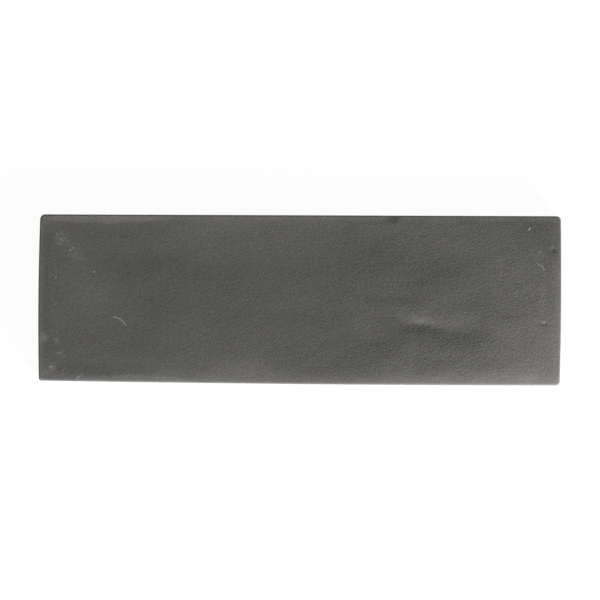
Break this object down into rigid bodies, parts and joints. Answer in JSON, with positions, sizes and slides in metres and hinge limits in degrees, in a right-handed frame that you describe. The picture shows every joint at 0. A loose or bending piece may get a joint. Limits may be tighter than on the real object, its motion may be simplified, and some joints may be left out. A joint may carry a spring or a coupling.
{
  "type": "ceramic tile",
  "caption": "Long rectangular ceramic wall tile with a dark grey satin glaze, softly uneven hand-made face, pillowed edges and a waffle-keyed back.",
  "frame": {"origin": "middle of the back, on the plane of the ribs that the tile rests on", "axes": "+X along the tile's length, +Y across its width, +Z out of the glazed face"},
  "size_m": [0.2, 0.0654, 0.0089],
  "materials": {
    "glaze": "satin"
  },
  "bodies": {
    "root": {"tile": "glaze"}
  },
  "joints": []
}
